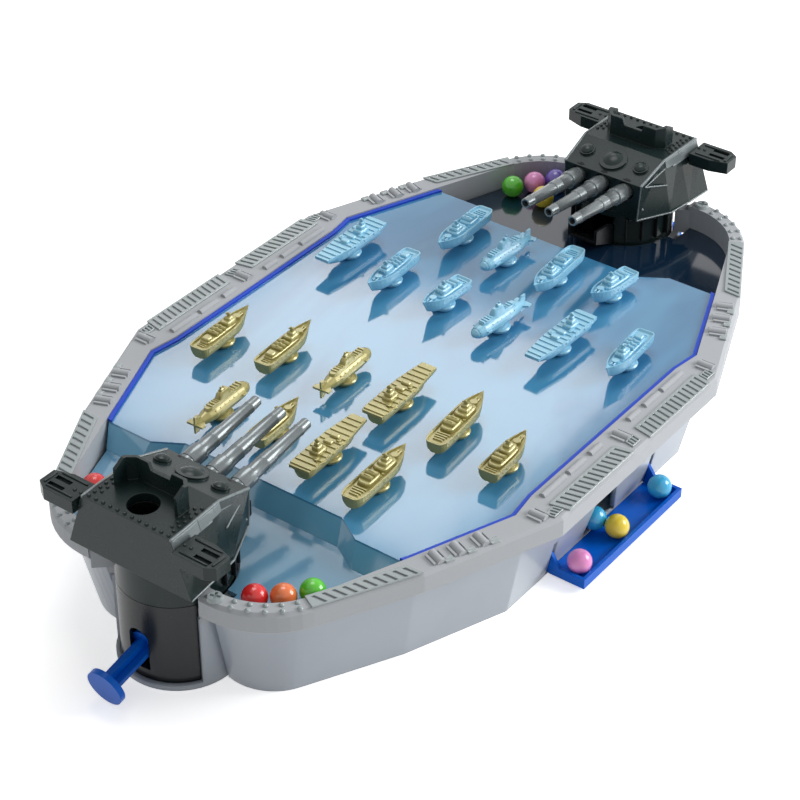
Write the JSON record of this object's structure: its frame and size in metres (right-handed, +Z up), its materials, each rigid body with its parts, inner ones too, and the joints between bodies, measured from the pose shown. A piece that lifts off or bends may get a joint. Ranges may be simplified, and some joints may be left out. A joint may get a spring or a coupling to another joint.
{
  "type": "naval marble-shooting table game",
  "caption": "Two-player table game: long hull with a clear deck of lift-out ships, a turning gun turret with push plunger at each end, and swing-out ball trays.",
  "frame": {"origin": "centre of the hull's footprint on the table", "axes": "+X along the hull towards the right-hand turret, +Y to the rear tray, +Z up"},
  "size_m": [0.4718, 0.253, 0.1055],
  "materials": {
    "hull_grey": "cool light grey ABS, satin",
    "rim_screws": "light grey plastic plug with a cross recess",
    "steel": "plain steel",
    "base_grey": "light grey ABS, matte",
    "clear_blue": "clear pale blue styrene, glossy",
    "balls": "solid bright plastic, glossy, one colour a ball",
    "tray_blue": "bright blue plastic",
    "gunmetal": "dark gunmetal plastic, glossy",
    "barrel_grey": "silver grey plastic with metal flake",
    "column_dark": "dark gunmetal plastic",
    "chute_black": "black plastic",
    "plunger_blue": "bright blue plastic",
    "spring_steel": "bright spring wire",
    "ship_gold": "pale gold plastic, satin",
    "ship_blue": "pale blue plastic, satin"
  },
  "bodies": {
    "hull": {"rim_frame": "hull_grey", "rim_screws": "rim_screws", "lower_tub": "hull_grey", "pivot_retainers": "steel", "bottom_plate": "base_grey", "base_screws": "steel", "deck_posts": "base_grey", "playfield": "clear_blue", "gutter_balls_left": "balls", "gutter_balls_right": "balls", "front_tray_pins": "steel", "rear_tray_pins": "steel"},
    "left_turret": {"left_turret_shell": "gunmetal", "left_turret_grips": "gunmetal", "left_gun_barrels": "barrel_grey", "left_turret_column": "column_dark", "left_ball_tube": "column_dark", "left_launch_chute": "chute_black", "left_plunger_spring": "spring_steel"},
    "left_plunger": {"left_plunger": "plunger_blue"},
    "right_turret": {"right_turret_shell": "gunmetal", "right_turret_grips": "gunmetal", "right_gun_barrels": "barrel_grey", "right_turret_column": "column_dark", "right_ball_tube": "column_dark", "right_launch_chute": "chute_black", "right_plunger_spring": "spring_steel"},
    "right_plunger": {"right_plunger": "plunger_blue"},
    "front_tray": {"front_tray": "tray_blue", "tray_balls": "balls"},
    "rear_tray": {"rear_tray": "tray_blue"},
    "gold_destroyer_1": {"gold_destroyer_1": "ship_gold"},
    "gold_destroyer_2": {"gold_destroyer_2": "ship_gold"},
    "gold_submarine_3": {"gold_submarine_3": "ship_gold"},
    "gold_carrier_4": {"gold_carrier_4": "ship_gold"},
    "gold_battleship_5": {"gold_battleship_5": "ship_gold"},
    "gold_patrol_boat_6": {"gold_patrol_boat_6": "ship_gold"},
    "gold_submarine_7": {"gold_submarine_7": "ship_gold"},
    "gold_patrol_boat_8": {"gold_patrol_boat_8": "ship_gold"},
    "gold_carrier_9": {"gold_carrier_9": "ship_gold"},
    "gold_battleship_10": {"gold_battleship_10": "ship_gold"},
    "blue_carrier_1": {"blue_carrier_1": "ship_blue"},
    "blue_destroyer_2": {"blue_destroyer_2": "ship_blue"},
    "blue_patrol_boat_3": {"blue_patrol_boat_3": "ship_blue"},
    "blue_submarine_4": {"blue_submarine_4": "ship_blue"},
    "blue_carrier_5": {"blue_carrier_5": "ship_blue"},
    "blue_destroyer_6": {"blue_destroyer_6": "ship_blue"},
    "blue_battleship_7": {"blue_battleship_7": "ship_blue"},
    "blue_submarine_8": {"blue_submarine_8": "ship_blue"},
    "blue_battleship_9": {"blue_battleship_9": "ship_blue"},
    "blue_patrol_boat_10": {"blue_patrol_boat_10": "ship_blue"}
  },
  "joints": [
    {"name": "left_turret_yaw", "type": "hinge", "parent": "hull", "child": "left_turret", "pos_m": [-0.184, 0, 0.046], "axis": [0, 0, 1], "range_deg": [-20, 20]},
    {"name": "left_plunger_push", "type": "slide", "parent": "left_turret", "child": "left_plunger", "axis": [0.9781, 0, 0.2079], "range_m": [0, 0.014], "stiffness_N_per_m": 120, "springref_m": -0.003, "deforming": ["left_plunger_spring"]},
    {"name": "right_turret_yaw", "type": "hinge", "parent": "hull", "child": "right_turret", "pos_m": [0.184, 0, 0.046], "axis": [0, 0, 1], "range_deg": [-20, 20]},
    {"name": "right_plunger_push", "type": "slide", "parent": "right_turret", "child": "right_plunger", "axis": [-0.9781, 0, 0.2079], "range_m": [0, 0.014], "stiffness_N_per_m": 120, "springref_m": -0.003, "deforming": ["right_plunger_spring"]},
    {"name": "front_tray_hinge", "type": "hinge", "parent": "hull", "child": "front_tray", "pos_m": [0, -0.10327, 0.0056], "axis": [-1, 0, 0], "range_deg": [0, 12]},
    {"name": "rear_tray_hinge", "type": "hinge", "parent": "hull", "child": "rear_tray", "pos_m": [0, 0.10327, 0.0056], "axis": [1, 0, 0], "range_deg": [0, 60]},
    {"name": "gold_destroyer_1_lift", "type": "slide", "parent": "hull", "child": "gold_destroyer_1", "axis": [0, 0, 1], "range_m": [0, 0.009]},
    {"name": "gold_destroyer_2_lift", "type": "slide", "parent": "hull", "child": "gold_destroyer_2", "axis": [0, 0, 1], "range_m": [0, 0.009]},
    {"name": "gold_submarine_3_lift", "type": "slide", "parent": "hull", "child": "gold_submarine_3", "axis": [0, 0, 1], "range_m": [0, 0.009]},
    {"name": "gold_carrier_4_lift", "type": "slide", "parent": "hull", "child": "gold_carrier_4", "axis": [0, 0, 1], "range_m": [0, 0.009]},
    {"name": "gold_battleship_5_lift", "type": "slide", "parent": "hull", "child": "gold_battleship_5", "axis": [0, 0, 1], "range_m": [0, 0.009]},
    {"name": "gold_patrol_boat_6_lift", "type": "slide", "parent": "hull", "child": "gold_patrol_boat_6", "axis": [0, 0, 1], "range_m": [0, 0.009]},
    {"name": "gold_submarine_7_lift", "type": "slide", "parent": "hull", "child": "gold_submarine_7", "axis": [0, 0, 1], "range_m": [0, 0.009]},
    {"name": "gold_patrol_boat_8_lift", "type": "slide", "parent": "hull", "child": "gold_patrol_boat_8", "axis": [0, 0, 1], "range_m": [0, 0.009]},
    {"name": "gold_carrier_9_lift", "type": "slide", "parent": "hull", "child": "gold_carrier_9", "axis": [0, 0, 1], "range_m": [0, 0.009]},
    {"name": "gold_battleship_10_lift", "type": "slide", "parent": "hull", "child": "gold_battleship_10", "axis": [0, 0, 1], "range_m": [0, 0.009]},
    {"name": "blue_carrier_1_lift", "type": "slide", "parent": "hull", "child": "blue_carrier_1", "axis": [0, 0, 1], "range_m": [0, 0.009]},
    {"name": "blue_destroyer_2_lift", "type": "slide", "parent": "hull", "child": "blue_destroyer_2", "axis": [0, 0, 1], "range_m": [0, 0.009]},
    {"name": "blue_patrol_boat_3_lift", "type": "slide", "parent": "hull", "child": "blue_patrol_boat_3", "axis": [0, 0, 1], "range_m": [0, 0.009]},
    {"name": "blue_submarine_4_lift", "type": "slide", "parent": "hull", "child": "blue_submarine_4", "axis": [0, 0, 1], "range_m": [0, 0.009]},
    {"name": "blue_carrier_5_lift", "type": "slide", "parent": "hull", "child": "blue_carrier_5", "axis": [0, 0, 1], "range_m": [0, 0.009]},
    {"name": "blue_destroyer_6_lift", "type": "slide", "parent": "hull", "child": "blue_destroyer_6", "axis": [0, 0, 1], "range_m": [0, 0.009]},
    {"name": "blue_battleship_7_lift", "type": "slide", "parent": "hull", "child": "blue_battleship_7", "axis": [0, 0, 1], "range_m": [0, 0.009]},
    {"name": "blue_submarine_8_lift", "type": "slide", "parent": "hull", "child": "blue_submarine_8", "axis": [0, 0, 1], "range_m": [0, 0.009]},
    {"name": "blue_battleship_9_lift", "type": "slide", "parent": "hull", "child": "blue_battleship_9", "axis": [0, 0, 1], "range_m": [0, 0.009]},
    {"name": "blue_patrol_boat_10_lift", "type": "slide", "parent": "hull", "child": "blue_patrol_boat_10", "axis": [0, 0, 1], "range_m": [0, 0.009]}
  ]
}
